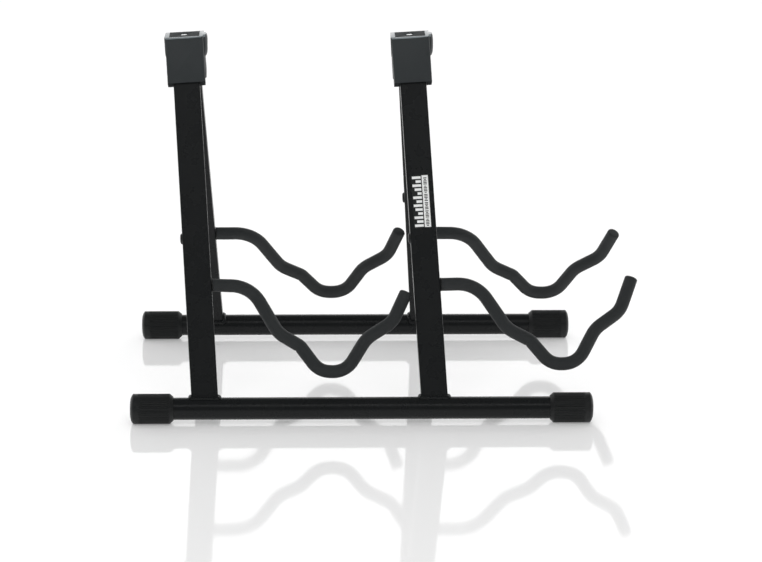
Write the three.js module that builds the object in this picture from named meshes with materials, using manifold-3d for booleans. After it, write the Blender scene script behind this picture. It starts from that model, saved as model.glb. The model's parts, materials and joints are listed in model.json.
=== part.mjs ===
// Folding double A-frame guitar rack.
//
// Millimetres, +Z up, +X towards the front of the rack (the way its arms point), +Y from the near foot
// to the far foot. Each A-frame is a group whose origin is on the hinge axis, so folding the rack is
// turning a group about X. The rack is shown open, standing on its four rubber foot caps.

import * as THREE from 'three';
import { mergeVertices } from 'three/addons/utils/BufferGeometryUtils.js';
import Module from 'manifold-3d';

const wasm = await Module();
wasm.setup();

// ---------------------------------------------------------------- driving dimensions

const OPEN_ANGLE = THREE.MathUtils.degToRad(23.8);   // each leg plane from vertical, rack open
const LEAN_ANGLE = THREE.MathUtils.degToRad(3.3);    // legs lean back inside their plane
const HINGE_REACH = 421;                             // hinge axis to foot tube centre, along the leg
const LEG_OFFSET = 11;                               // hinge axis to leg centre plane
const GAP = 0.3;                                     // clearance left between touching pieces

const FOOT_TUBE_LENGTH = 500;
const FOOT_TUBE_RADIUS = 12.5;
const TUBE_WALL = 1.5;
const FOOT_CAP_RADIUS = 17;
const FOOT_CAP_END = 9.3;                            // solid rubber beyond the tube end
const FOOT_CAP_GRIP = 35.3;                          // full-radius length over the tube
const FOOT_CAP_SHOULDER = 3.7;                       // cone at the open end
const REAR_LEG_X = 74.8;                               // leg base from the rear tube end
const FRONT_LEG_X = 332;

const LEG_WIDTH = 30;
const LEG_THICKNESS = 15;
const LEG_CORNER = 2;
const WELD_LEG = 3.6;                                // weld bead size

const CAP_WIDTH = 43.6;                              // hinge cap, across the leg
const CAP_LENGTH = 50;                               // hinge axis to the cap's lower edge
const CAP_WALL = 3.5;                                // outer wall over the leg's wide face
const CAP_TAPER = 0.985;                             // lower edge against the upper edge
const TOP_RISE = 11;                                 // flat top above the hinge axis
const TOP_ROUND = 3.5;                               // round between the flat top and the outer face
const SHOULDER_DROP = 15.3;                          // solid shoulder below the hinge axis
const INNER_WALL = 1.8;                              // sleeve wall between the two legs
const RIM_WALL = 2.6;                                // outer wall beside the knuckle and the ears
const KNUCKLE_WIDTH = 33.6;
const HINGE_ROUND = 14.5;                            // round of knuckle and ears about the axis
const HINGE_BEYOND = 15.5;                           // flat top of knuckle and ears, past the axis
const EAR_BOSS = 4.5;                                // dome on the front ear, proud of the cap's side
const EAR_BOSS_FLAT = 6.5;                           // radius of the flat face of the dome
const PIN_RADIUS = 3;
const PIN_CLEARANCE = 0.08;                          // running fit in the ears and the knuckle
const PIN_HEAD_RADIUS = 5;
const PIN_HEAD_HEIGHT = 1.2;
const LOCK_HEAD_RADIUS = 3.8;
const LOCK_HEAD_HEIGHT = 1.4;
const LOCK_SHANK_RADIUS = 2.5;
const LOCK_RECESS_RADIUS = 4.9;

const ROD_RADIUS = 4;
const FOAM_RADIUS = 7.4;
const ARM_HEIGHT = 140;                              // arm root above the foot tube centre
const ARM_FLARE = THREE.MathUtils.degToRad(3.6);     // arm plane leans out from the leg plane
const FOAM_END = 3;                                  // closed end of the foam beyond the rod
const WASHER_RADIUS = 7.7;
const WASHER_THICKNESS = 1.4;
const ARM_SCREW_HEIGHT = 194;                        // above the foot tube centre
const ARM_SCREW_HEAD_RADIUS = 6;
const ARM_SCREW_HEAD_HEIGHT = 2.4;
const ARM_SCREW_RADIUS = 2.5;
const TAIL_LENGTH = 66;                              // hidden upturned end of the rod
const TAIL_BEND = 10;

const LABEL_HEIGHT = 61.2;
const LABEL_WIDTH = 19.6;
const LABEL_THICKNESS = 0.35;
const LABEL_CENTRE = 234.4;                            // above the foot tube centre

// The arm's centreline in its own plane: forwards, upwards and the bend radius at each corner.
const ARM_CORNERS = [
  [0, 0, 0],
  [43, 0, 38],
  [76, -53, 33],
  [101, -67, 14],
  [123, -95, 25],
  [153, -95, 26],
  [175, -56, 35],
  [204, -36, 30],
  [219.5, 3, 0],
];

// The arms were bent and fitted by hand. Each is turned a little in its plane (degrees, up is positive),
// its bends and its tip sit a little further out, and it ends a little short.
const ARM_SET = {
  near_rear: { turn: -2, bends: 0.7, tip: 1.5, short: 3.5 },
  near_front: { turn: 1.4, bends: -2.3, tip: -2.5, short: 0 },
  far_rear: { turn: 0.3, bends: 1.4, tip: 0.1, short: 0 },
  far_front: { turn: -0.6, bends: 0.2, tip: -0.3, short: 0 },
};

const ROUND_SIDES = 24;
const ROD_SIDES = 8;
const FOAM_SIDES = 10;
const BEND_STEP = THREE.MathUtils.degToRad(18);

// ---------------------------------------------------------------- materials

const FINISHES = {
  paint: { color: 0x1d1f21, roughness: 0.38, metalness: 0.0 },
  rubber: { color: 0x1b1b1c, roughness: 0.8, metalness: 0.0 },
  plastic: { color: 0x2f3335, roughness: 0.5, metalness: 0.0 },
  foam: { color: 0x262928, roughness: 0.95, metalness: 0.0 },
  zinc: { color: 0xc9cbcc, roughness: 0.25, metalness: 1.0 },
  blackSteel: { color: 0x202122, roughness: 0.45, metalness: 0.6 },
  label: { color: 0xe8e8e6, roughness: 0.5, metalness: 0.0 },
};

// ---------------------------------------------------------------- solids

function toSolid(geometry) {
  const bare = geometry.clone();
  bare.deleteAttribute('normal');
  bare.deleteAttribute('uv');
  const merged = mergeVertices(bare, 1e-4);
  const vertProperties = new Float32Array(merged.attributes.position.array);
  const triVerts = new Uint32Array(merged.index.array);
  return new wasm.Manifold(new wasm.Mesh({ numProp: 3, vertProperties, triVerts }));
}

function toGeometry(solid) {
  const mesh = solid.getMesh();
  const geometry = new THREE.BufferGeometry();
  geometry.setAttribute('position', new THREE.BufferAttribute(new Float32Array(mesh.vertProperties), 3));
  geometry.setIndex(new THREE.BufferAttribute(new Uint32Array(mesh.triVerts), 1));
  geometry.computeVertexNormals();
  return geometry;
}

function cut(geometry, ...tools) {
  return toGeometry(tools.reduce((solid, tool) => solid.subtract(toSolid(tool)), toSolid(geometry)));
}

function join(...geometries) {
  return toGeometry(geometries.map(toSolid).reduce((whole, solid) => whole.add(solid)));
}

function common(a, b) {
  return toGeometry(toSolid(a).intersect(toSolid(b)));
}

// A geometry reflected in X or in Y, with its faces still pointing out.
function mirrored(geometry, x, y) {
  const copy = mergeVertices(geometry.clone());
  copy.scale(x, y, 1);
  const corners = copy.index.array;
  for (let i = 0; i < corners.length; i += 3) {
    [corners[i + 1], corners[i + 2]] = [corners[i + 2], corners[i + 1]];
  }
  copy.computeVertexNormals();
  return copy;
}

// ---------------------------------------------------------------- basic shapes

function ring(radius, sides) {
  const points = [];
  for (let i = 0; i < sides; i += 1) {
    const angle = (i + 0.5) * 2 * Math.PI / sides;
    points.push(new THREE.Vector2(radius * Math.cos(angle), radius * Math.sin(angle)));
  }
  return points;
}

function annulus(outer, outerSides, inner, innerSides) {
  const shape = new THREE.Shape(ring(outer, outerSides));
  if (inner) {
    shape.holes.push(new THREE.Path(ring(inner, innerSides)));
  }
  return shape;
}

function roundedRectangle(width, depth, corner) {
  const points = [];
  const quarter = [[1, 1], [-1, 1], [-1, -1], [1, -1]];
  quarter.forEach(([sx, sy], side) => {
    for (let i = 0; i <= 3; i += 1) {
      const angle = (side + i / 3) * Math.PI / 2;
      const x = sx * (width / 2 - corner) + corner * Math.cos(angle);
      const y = sy * (depth / 2 - corner) + corner * Math.sin(angle);
      points.push(new THREE.Vector2(x, y));
    }
  });
  return points;
}

// A section in the YZ plane, given as [y, z] points, extruded from x0 to x1.
function prismAlongX(section, x0, x1) {
  const shape = new THREE.Shape(section.map(([y, z]) => new THREE.Vector2(y, z)));
  const geometry = new THREE.ExtrudeGeometry(shape, { depth: x1 - x0, bevelEnabled: false });
  geometry.applyMatrix4(new THREE.Matrix4().makeBasis(
    new THREE.Vector3(0, 1, 0),
    new THREE.Vector3(0, 0, 1),
    new THREE.Vector3(1, 0, 0),
  ));
  return geometry.translate(x0, 0, 0);
}

function cylinderAlongX(radius, x0, x1, sides = ROUND_SIDES) {
  const geometry = new THREE.CylinderGeometry(radius, radius, x1 - x0, sides);
  return geometry.rotateZ(-Math.PI / 2).translate((x0 + x1) / 2, 0, 0);
}

function box(x0, x1, y0, y1, z0, z1) {
  const geometry = new THREE.BoxGeometry(x1 - x0, y1 - y0, z1 - z0);
  return geometry.translate((x0 + x1) / 2, (y0 + y1) / 2, (z0 + z1) / 2);
}

// ---------------------------------------------------------------- bent rods

// A path of straight runs joined by round bends. Its samples follow the bends, not the length.
class BentPath extends THREE.Curve {
  constructor(corners) {
    super();
    this.samples = [corners[0].point];
    for (let i = 1; i < corners.length - 1; i += 1) {
      this.addBend(corners[i - 1].point, corners[i], corners[i + 1].point);
    }
    this.samples.push(corners[corners.length - 1].point);
  }

  addBend(before, corner, after) {
    const inwards = before.clone().sub(corner.point).normalize();
    const outwards = after.clone().sub(corner.point).normalize();
    const opening = inwards.angleTo(outwards);
    const turn = Math.PI - opening;
    const bisector = inwards.clone().add(outwards).normalize();
    const centre = corner.point.clone().addScaledVector(bisector, corner.bend / Math.sin(opening / 2));
    const start = corner.point.clone().addScaledVector(inwards, corner.bend / Math.tan(opening / 2));
    const axis = new THREE.Vector3().crossVectors(outwards, inwards).normalize();
    const steps = Math.max(2, Math.ceil(turn / BEND_STEP));
    for (let i = 0; i <= steps; i += 1) {
      const spoke = start.clone().sub(centre).applyAxisAngle(axis, turn * i / steps);
      this.samples.push(spoke.add(centre));
    }
  }

  getUtoTmapping(u) {
    return u;
  }

  getPoint(t, target = new THREE.Vector3()) {
    const place = Math.min(Math.max(t, 0), 1) * (this.samples.length - 1);
    const index = Math.min(Math.floor(place), this.samples.length - 2);
    return target.lerpVectors(this.samples[index], this.samples[index + 1], place - index);
  }
}

function sweep(shape, corners) {
  const extrudePath = new BentPath(corners);
  const steps = extrudePath.samples.length - 1;
  return new THREE.ExtrudeGeometry(shape, { steps, extrudePath, bevelEnabled: false });
}

// ---------------------------------------------------------------- feet and legs

function footTube() {
  const sides = ROUND_SIDES;
  const shape = annulus(FOOT_TUBE_RADIUS, sides, FOOT_TUBE_RADIUS - TUBE_WALL, sides);
  const geometry = new THREE.ExtrudeGeometry(shape, { depth: FOOT_TUBE_LENGTH, bevelEnabled: false });
  return geometry.rotateY(Math.PI / 2);
}

// The rubber cap for the rear end, its open end towards +X. It is turned to stand on one of its flats.
function footCap() {
  const bore = FOOT_TUBE_RADIUS + GAP;
  const profile = [
    [0, -FOOT_CAP_END],
    [FOOT_CAP_RADIUS - 9, -FOOT_CAP_END],
    [FOOT_CAP_RADIUS - 5, -FOOT_CAP_END + 0.8],
    [FOOT_CAP_RADIUS - 2, -FOOT_CAP_END + 2.3],
    [FOOT_CAP_RADIUS, -FOOT_CAP_END + 4.8],
    [FOOT_CAP_RADIUS, FOOT_CAP_GRIP],
    [bore + 1.4, FOOT_CAP_GRIP + FOOT_CAP_SHOULDER],
    [bore, FOOT_CAP_GRIP + FOOT_CAP_SHOULDER],
    [bore, -GAP],
    [0, -GAP],
  ];
  const points = profile.map(([radius, along]) => new THREE.Vector2(radius, along));
  const cap = new THREE.LatheGeometry(points, ROUND_SIDES).rotateZ(-Math.PI / 2);
  return cap.rotateX(OPEN_ANGLE + Math.PI / ROUND_SIDES);
}

// Places a geometry built on the leg's own axis (z from the foot tube centre) in the A-frame.
function onLeg(geometry, legX) {
  geometry.rotateY(-LEAN_ANGLE);
  return geometry.translate(legX, -LEG_OFFSET, -HINGE_REACH);
}

function footTubeTool(radius) {
  return cylinderAlongX(radius, -10, FOOT_TUBE_LENGTH + 10).translate(0, -LEG_OFFSET, -HINGE_REACH);
}

function legBar(grow, length) {
  const corner = LEG_CORNER + grow;
  const outline = roundedRectangle(LEG_WIDTH + 2 * grow, LEG_THICKNESS + 2 * grow, corner);
  return new THREE.ExtrudeGeometry(new THREE.Shape(outline), { depth: length, bevelEnabled: false });
}

function leg(legX) {
  const length = (HINGE_REACH - SHOULDER_DROP - RIM_WALL - GAP) / Math.cos(LEAN_ANGLE) - 1;
  const bar = legBar(0, length);
  const hollow = legBar(-TUBE_WALL, length + 20).translate(0, 0, -10);
  const armHole = cylinderAlongX(ROD_RADIUS + 0.5, 5, 30, 16).rotateY(LEAN_ANGLE);
  armHole.translate(0, 0, ARM_HEIGHT / Math.cos(LEAN_ANGLE));
  const screwHole = cylinderAlongX(ARM_SCREW_RADIUS + GAP, -30, -5, 16).translate(0, 0, ARM_SCREW_HEIGHT);
  const tube = cut(bar, hollow, armHole, screwHole);
  return cut(onLeg(tube, legX), footTubeTool(FOOT_TUBE_RADIUS + GAP));
}

// A fillet of weld metal all round the leg's coped end.
function weldBead(legX) {
  const collar = legBar(WELD_LEG, 40);
  const shaped = common(onLeg(collar, legX), footTubeTool(FOOT_TUBE_RADIUS + WELD_LEG));
  const legTool = onLeg(legBar(GAP, 60).translate(0, 0, -10), legX);
  return cut(shaped, footTubeTool(FOOT_TUBE_RADIUS + GAP), legTool);
}

// ---------------------------------------------------------------- hinge

// Turns a [y, z] point given with the rack open into the near A-frame's own directions.
function fromOpen([y, z]) {
  const cos = Math.cos(OPEN_ANGLE);
  const sin = Math.sin(OPEN_ANGLE);
  return [y * cos - z * sin, y * sin + z * cos];
}

function arc(radius, fromDegrees, toDegrees, steps) {
  const points = [];
  for (let i = 0; i <= steps; i += 1) {
    const angle = THREE.MathUtils.degToRad(fromDegrees + (toDegrees - fromDegrees) * i / steps);
    points.push([radius * Math.cos(angle), radius * Math.sin(angle)]);
  }
  return points;
}

const CAP_OUTER = LEG_OFFSET + LEG_THICKNESS / 2 + CAP_WALL;
const CAP_INNER = LEG_OFFSET - LEG_THICKNESS / 2 - GAP - INNER_WALL;

// The boxy sleeve over the leg top with its outer wall running up to the flat top.
function capSleeve() {
  const height = CAP_LENGTH + 2 * TOP_RISE;
  const outline = roundedRectangle(CAP_WIDTH, CAP_OUTER - CAP_INNER, 2.5);
  const shell = new THREE.ExtrudeGeometry(new THREE.Shape(outline), { depth: height, bevelEnabled: false });
  const position = shell.attributes.position;
  for (let i = 0; i < position.count; i += 1) {
    const share = THREE.MathUtils.lerp(CAP_TAPER, 1, position.getZ(i) / height);
    position.setX(i, position.getX(i) * share);
  }
  shell.translate(0, -(CAP_OUTER + CAP_INNER) / 2, -CAP_LENGTH);
  shell.rotateY(-LEAN_ANGLE);
  const above = box(-40, 40, -CAP_OUTER + RIM_WALL, 40, -SHOULDER_DROP, 60);
  const legTop = HINGE_REACH - SHOULDER_DROP - RIM_WALL;
  const legTool = legBar(GAP, legTop).translate(0, -LEG_OFFSET, -HINGE_REACH).rotateY(-LEAN_ANGLE);
  return cut(shell, above, legTool);
}

// Turns a geometry drawn about the hinge centre, square to the leaning cap, rack open.
function squareToCap(geometry) {
  return geometry.rotateY(-LEAN_ANGLE).rotateX(OPEN_ANGLE);
}

// Everything above the flat top and outside the round that leads from it to the outer face.
function aboveTop() {
  const centreZ = TOP_RISE - TOP_ROUND;
  const centreY = (Math.sin(OPEN_ANGLE) * centreZ + TOP_ROUND - CAP_OUTER) / Math.cos(OPEN_ANGLE);
  const outerFace = 180 - THREE.MathUtils.radToDeg(OPEN_ANGLE);
  const round = arc(TOP_ROUND, 90, outerFace, 4).map(([y, z]) => [centreY + y, centreZ + z]);
  const beyond = [centreY - 2 * CAP_OUTER, centreZ + TOP_RISE];
  return squareToCap(prismAlongX([[60, TOP_RISE], ...round, beyond, [-60, 60], [60, 60]], -60, 60));
}

// The section that fills the hinge between the outer wall and the far end of the knuckle or the ears.
function hingeSection(heel) {
  const outer = -CAP_OUTER + RIM_WALL / 2;
  const top = TOP_RISE + 8;
  return [
    [outer, -SHOULDER_DROP - 1],
    [-CAP_INNER - 2, -SHOULDER_DROP - 1],
    ...arc(HINGE_ROUND, -97, -50, 6),
    ...heel,
    fromOpen([HINGE_BEYOND, TOP_RISE - 6]),
    fromOpen([HINGE_BEYOND, top]),
    fromOpen([-CAP_OUTER, top + 6]),
    [outer, 8],
  ];
}

function pinBore() {
  return cylinderAlongX(PIN_RADIUS + PIN_CLEARANCE, -60, 60, 20);
}

// Near side: one wide knuckle in the middle, with the lock screw's hole in its top.
function knuckleCap() {
  const knuckle = prismAlongX(hingeSection([]), -KNUCKLE_WIDTH / 2, KNUCKLE_WIDTH / 2);
  const screwHole = new THREE.CylinderGeometry(LOCK_SHANK_RADIUS + GAP, LOCK_SHANK_RADIUS + GAP, 30, 16);
  squareToCap(screwHole.rotateX(Math.PI / 2).translate(0, 0, 15));
  const recess = new THREE.CylinderGeometry(LOCK_RECESS_RADIUS, LOCK_RECESS_RADIUS, 20, 20);
  const recessFloor = TOP_RISE - LOCK_HEAD_HEIGHT - 2 * GAP;
  squareToCap(recess.rotateX(Math.PI / 2).translate(0, 0, recessFloor + 10));
  return cut(join(capSleeve(), knuckle), aboveTop(), pinBore(), screwHole, recess);
}

// The dome on the outside of the front ear, its edge rounded as a quarter ellipse.
function earBoss() {
  const side = CAP_WIDTH / 2;
  const radius = SHOULDER_DROP - GAP;
  const points = [new THREE.Vector2(0, side - 3), new THREE.Vector2(radius, side - 3)];
  for (let i = 0; i <= 4; i += 1) {
    const angle = i * Math.PI / 8;
    const out = EAR_BOSS_FLAT + (radius - EAR_BOSS_FLAT) * Math.cos(angle);
    points.push(new THREE.Vector2(out, side + EAR_BOSS * Math.sin(angle)));
  }
  points.push(new THREE.Vector2(0, side + EAR_BOSS));
  return new THREE.LatheGeometry(points, 2 * ROUND_SIDES).rotateZ(-Math.PI / 2);
}

// Far side, drawn as if it were near: two ears, the front one with the dome.
function earCap() {
  const inside = KNUCKLE_WIDTH / 2 + GAP;
  const heelRest = SHOULDER_DROP - GAP;
  const heel = [[-1, -heelRest], [8, -heelRest], [13, -8]].map(([y, z]) => {
    const turned = 2 * OPEN_ANGLE;
    return [
      y * Math.cos(turned) - z * Math.sin(turned),
      y * Math.sin(turned) + z * Math.cos(turned),
    ];
  });
  const section = hingeSection(heel);
  const sides = box(-CAP_WIDTH / 2, CAP_WIDTH / 2, -60, 60, -60, 60).rotateY(-LEAN_ANGLE);
  const rearEar = common(prismAlongX(section, -60, -inside), sides);
  const frontEar = common(prismAlongX(section, inside, 60), sides.clone());
  const headSeat = CAP_WIDTH / 2 + EAR_BOSS - PIN_HEAD_HEIGHT - GAP;
  const counterbore = cylinderAlongX(PIN_HEAD_RADIUS + GAP, headSeat, 60);
  return cut(join(capSleeve(), rearEar, frontEar, earBoss()), aboveTop(), pinBore(), counterbore);
}

function hingePin() {
  const frontEnd = CAP_WIDTH / 2 + EAR_BOSS;
  const shaft = cylinderAlongX(PIN_RADIUS, -CAP_WIDTH / 2, frontEnd - 0.5, 20);
  const head = cylinderAlongX(PIN_HEAD_RADIUS, frontEnd - PIN_HEAD_HEIGHT, frontEnd, 20);
  return join(shaft, head);
}

function lockScrew() {
  const top = TOP_RISE - GAP;
  const under = top - LOCK_HEAD_HEIGHT;
  const points = [
    [0, PIN_RADIUS + GAP],
    [LOCK_SHANK_RADIUS, PIN_RADIUS + GAP],
    [LOCK_SHANK_RADIUS, under],
    [LOCK_HEAD_RADIUS, under],
    [LOCK_HEAD_RADIUS, top - 0.4],
    [LOCK_HEAD_RADIUS - 0.6, top],
    [0, top],
  ].map(([radius, along]) => new THREE.Vector2(radius, along));
  return squareToCap(new THREE.LatheGeometry(points, 20).rotateX(Math.PI / 2));
}

// ---------------------------------------------------------------- arms

function armRoot(legX) {
  const lean = ARM_HEIGHT * Math.tan(LEAN_ANGLE);
  const face = LEG_WIDTH / 2 / Math.cos(LEAN_ANGLE);
  return new THREE.Vector3(legX - lean + face, -LEG_OFFSET, ARM_HEIGHT - HINGE_REACH);
}

// The arm's corners in the A-frame. stop trims the last straight run.
function armPath(legX, set, stop) {
  const root = armRoot(legX);
  const turn = THREE.MathUtils.degToRad(set.turn);
  const forwards = new THREE.Vector3(1, 0, 0);
  const upwards = new THREE.Vector3(0, Math.sin(ARM_FLARE), Math.cos(ARM_FLARE));
  const last = ARM_CORNERS.length - 1;
  const corners = ARM_CORNERS.map(([u, v, bend], i) => {
    const shift = i === last ? set.tip : set.bends;
    const out = i === 0 ? 0 : u + shift;
    const along = out * Math.cos(turn) - v * Math.sin(turn);
    const rise = out * Math.sin(turn) + v * Math.cos(turn);
    const point = root.clone().addScaledVector(forwards, along).addScaledVector(upwards, rise);
    return { point, bend };
  });
  const tip = corners[last].point;
  tip.addScaledVector(tip.clone().sub(corners[last - 1].point).normalize(), -stop - set.short);
  return corners;
}

// The steel rod: bolted tail up inside the hollow leg, out through the front face, then the arm.
function armRod(legX, set) {
  const corners = armPath(legX, set, FOAM_END);
  const root = corners[0].point.clone();
  const upLeg = new THREE.Vector3(-Math.sin(LEAN_ANGLE), 0, Math.cos(LEAN_ANGLE));
  const tailX = LEG_WIDTH - TUBE_WALL - GAP - ROD_RADIUS;
  const elbow = root.clone().add(new THREE.Vector3(-tailX, 0, 0));
  const tailEnd = elbow.clone().addScaledVector(upLeg, TAIL_LENGTH);
  const path = [
    { point: tailEnd, bend: 0 },
    { point: elbow, bend: TAIL_BEND },
    { point: root, bend: 200 },
    ...corners.slice(1),
  ];
  const rod = sweep(annulus(ROD_RADIUS, ROD_SIDES), path);
  const screwAt = ARM_SCREW_HEIGHT;
  const hole = onLeg(cylinderAlongX(ARM_SCREW_RADIUS + GAP, -20, -8.5, 12).translate(0, 0, screwAt), legX);
  return cut(rod, hole);
}

// The foam sock over the rod, closed at the tip. It starts at the washer, parallel to the leg's face.
function foamSleeve(legX, set) {
  const outside = sweep(annulus(FOAM_RADIUS, FOAM_SIDES), armPath(legX, set, 0));
  const bore = sweep(annulus(ROD_RADIUS + GAP, ROD_SIDES), armPath(legX, set, FOAM_END - GAP));
  const root = armRoot(legX);
  const washerSide = box(-30, WASHER_THICKNESS + 2 * GAP, -20, 20, -20, 20).rotateY(-LEAN_ANGLE);
  return cut(outside, bore, washerSide.translate(root.x, root.y, root.z));
}

function armWasher(legX) {
  const hole = cylinderAlongX(ROD_RADIUS + 0.6, -5, 5, 16);
  const disc = cylinderAlongX(WASHER_RADIUS, GAP, GAP + WASHER_THICKNESS, 24);
  const washer = cut(disc, hole).rotateY(-LEAN_ANGLE);
  const root = armRoot(legX);
  return washer.translate(root.x, root.y, root.z);
}

function armScrew(legX) {
  const face = LEG_WIDTH / 2;
  const points = [
    [0, -9.5],
    [ARM_SCREW_RADIUS, -9.5],
    [ARM_SCREW_RADIUS, -face - GAP],
    [ARM_SCREW_HEAD_RADIUS, -face - GAP],
    [ARM_SCREW_HEAD_RADIUS - 0.3, -face - 1.2],
    [ARM_SCREW_HEAD_RADIUS - 1.8, -face - 2.1],
    [ARM_SCREW_HEAD_RADIUS - 4, -face - ARM_SCREW_HEAD_HEIGHT],
    [0, -face - ARM_SCREW_HEAD_HEIGHT],
  ].map(([radius, along]) => new THREE.Vector2(radius, -along));
  const screw = new THREE.LatheGeometry(points, 20).rotateZ(Math.PI / 2);
  return onLeg(screw.translate(0, 0, ARM_SCREW_HEIGHT), legX);
}

function label(legX) {
  const outer = -LEG_THICKNESS / 2 - GAP;
  const plate = box(-LABEL_WIDTH / 2, LABEL_WIDTH / 2, outer - LABEL_THICKNESS, outer, 0, LABEL_HEIGHT);
  return onLeg(plate.translate(0, 0, LABEL_CENTRE - LABEL_HEIGHT / 2), legX);
}

// ---------------------------------------------------------------- assembly

function addPiece(group, name, finish, geometry) {
  const mesh = new THREE.Mesh(geometry, new THREE.MeshStandardMaterial(FINISHES[finish]));
  mesh.name = name;
  group.add(mesh);
  return mesh;
}

const LEGS = [['rear', REAR_LEG_X], ['front', FRONT_LEG_X]];

function hingeX(legX) {
  return legX - HINGE_REACH * Math.tan(LEAN_ANGLE);
}

function aFrame(side) {
  const frame = new THREE.Group();
  const turned = (geometry) => (side === 'far' ? mirrored(geometry, 1, -1) : geometry);
  const add = (name, finish, geometry) => addPiece(frame, `${side}_${name}`, finish, turned(geometry));
  const atFoot = (geometry, x) => geometry.translate(x, -LEG_OFFSET, -HINGE_REACH);

  add('foot_tube', 'paint', atFoot(footTube(), 0));
  add('rear_foot_cap', 'rubber', atFoot(footCap(), 0));
  add('front_foot_cap', 'rubber', atFoot(mirrored(footCap(), -1, 1), FOOT_TUBE_LENGTH));

  LEGS.forEach(([place, legX]) => {
    const set = ARM_SET[`${side}_${place}`];
    const hingeCap = side === 'near' ? knuckleCap() : earCap();
    add(`${place}_leg`, 'paint', leg(legX));
    add(`${place}_leg_weld`, 'paint', weldBead(legX));
    add(`${place}_hinge_cap`, 'plastic', hingeCap.translate(hingeX(legX), 0, 0));
    add(`${place}_arm_rod`, 'blackSteel', armRod(legX, set));
    add(`${place}_arm_foam`, 'foam', foamSleeve(legX, set));
    add(`${place}_arm_washer`, 'rubber', armWasher(legX));
    add(`${place}_arm_screw`, 'blackSteel', armScrew(legX));
  });
  return frame;
}

const nearFrame = aFrame('near');
const farFrame = aFrame('far');
nearFrame.rotation.x = -OPEN_ANGLE;
farFrame.rotation.x = OPEN_ANGLE;

LEGS.forEach(([place, legX]) => {
  addPiece(nearFrame, `${place}_hinge_pin`, 'zinc', hingePin().translate(hingeX(legX), 0, 0));
  addPiece(nearFrame, `${place}_pin_lock_screw`, 'zinc', lockScrew().translate(hingeX(legX), 0, 0));
});
addPiece(nearFrame, 'near_front_leg_label', 'label', label(FRONT_LEG_X));

const rack = new THREE.Group();
rack.add(nearFrame, farFrame);
rack.updateMatrixWorld(true);
const extent = new THREE.Box3().setFromObject(rack, true);
rack.position.set(-(extent.min.x + extent.max.x) / 2, 0, -extent.min.z);

export default rack;
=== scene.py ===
"""Looks of the folding double A-frame guitar rack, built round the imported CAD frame.

Shapes are drawn in millimetres in the near A-frame's own directions: the origin level with the hinge axis
and with the rear end of the foot tube, +X to the front of the rack, +Z up the legs and -Y outwards. place()
leans them to the open angle, and mirrors them for the far A-frame.
"""

import json
import math

import bpy
import bmesh
from mathutils import Matrix, Vector, noise

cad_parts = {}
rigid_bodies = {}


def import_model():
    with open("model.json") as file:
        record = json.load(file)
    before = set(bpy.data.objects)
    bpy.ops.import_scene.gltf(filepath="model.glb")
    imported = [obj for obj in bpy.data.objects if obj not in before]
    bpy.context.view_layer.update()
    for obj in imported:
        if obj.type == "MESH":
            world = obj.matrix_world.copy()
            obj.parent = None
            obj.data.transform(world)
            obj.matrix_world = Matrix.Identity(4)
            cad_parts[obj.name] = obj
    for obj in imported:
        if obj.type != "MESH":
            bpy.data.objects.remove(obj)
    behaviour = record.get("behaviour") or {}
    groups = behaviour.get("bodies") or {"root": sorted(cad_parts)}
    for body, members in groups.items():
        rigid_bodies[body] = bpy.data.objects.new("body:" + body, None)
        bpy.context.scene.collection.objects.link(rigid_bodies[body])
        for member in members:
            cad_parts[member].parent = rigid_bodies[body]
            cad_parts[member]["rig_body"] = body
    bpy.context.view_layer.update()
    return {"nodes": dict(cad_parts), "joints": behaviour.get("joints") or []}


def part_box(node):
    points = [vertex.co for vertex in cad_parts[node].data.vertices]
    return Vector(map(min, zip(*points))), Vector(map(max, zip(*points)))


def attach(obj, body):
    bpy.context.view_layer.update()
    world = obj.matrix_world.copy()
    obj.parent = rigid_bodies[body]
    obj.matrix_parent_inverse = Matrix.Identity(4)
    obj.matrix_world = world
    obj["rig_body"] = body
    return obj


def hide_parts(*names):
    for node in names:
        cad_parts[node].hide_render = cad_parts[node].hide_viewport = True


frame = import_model()

# ---------------------------------------------------------------- places given by the frame, metres

MM = 0.001
HINGE_HEIGHT = frame["joints"][0]["pos_m"][2]
TUBE_REAR_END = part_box("near_foot_tube")[0].x

# ---------------------------------------------------------------- driving dimensions, millimetres

OPEN_ANGLE = math.radians(23.8)
LEAN_ANGLE = math.radians(3.3)
HINGE_REACH = 421
LEG_OFFSET = 11

FOOT_TUBE_LENGTH = 500
FOOT_TUBE_RADIUS = 12.5
TUBE_WALL = 1.5
FOOT_CAP_RADIUS = 16.85
FOOT_CAP_END = 9.3
FOOT_CAP_GRIP = 35.3
FOOT_CAP_SHOULDER = 3.7
DOME_LENGTH = 6
DOME_WIDTH = 10.5
DOME_SWELL = 11.5
DOME_STOP = 26
RIB_COUNT = 48
RIB_DEPTH = 0.7
RIB_START = 11
RIB_FADE_IN = 3
RIB_FADE_OUT = 0.5
GRIP_EDGE = 0.8
SEAM_ANGLE = {"near": 10, "far": 38}
SEAM_HALF_ANGLE = 0.03
SEAM_DEPTH = 0.3
CUP_GAP = 0.3
CUP_PLAY = 0.15
AXIS_RING = 0.02
LEG_X = {"rear": 74.8, "front": 332}

LEG_WIDTH = 30
LEG_THICKNESS = 15
LEG_CORNER = 2
LEG_TOP = 402
WELD_RADIUS = 2.4
WELD_PROUD = 0.4
WELD_RISE = 0.2
RIPPLE_PITCH = 2.6
RIPPLE_SHARE = 0.07
LUMP_SHARE = 0.16
LUMP_SCALE = 0.16
END_SHARE = 0.22
END_START = 0.8
WELD_STEPS = 180
WELD_SIDES = 14

KNUCKLE_WIDTH = 33.6
TOP_RISE = 11
TOP_ROUND = 3.5
RIM_REACH = 15.4
CAP_EDGE = 0.7
PIN_EDGE = 0.3
LOCK_SCREW_EDGE = 0.25
CAP_LOWER_EDGE = -20

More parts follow.
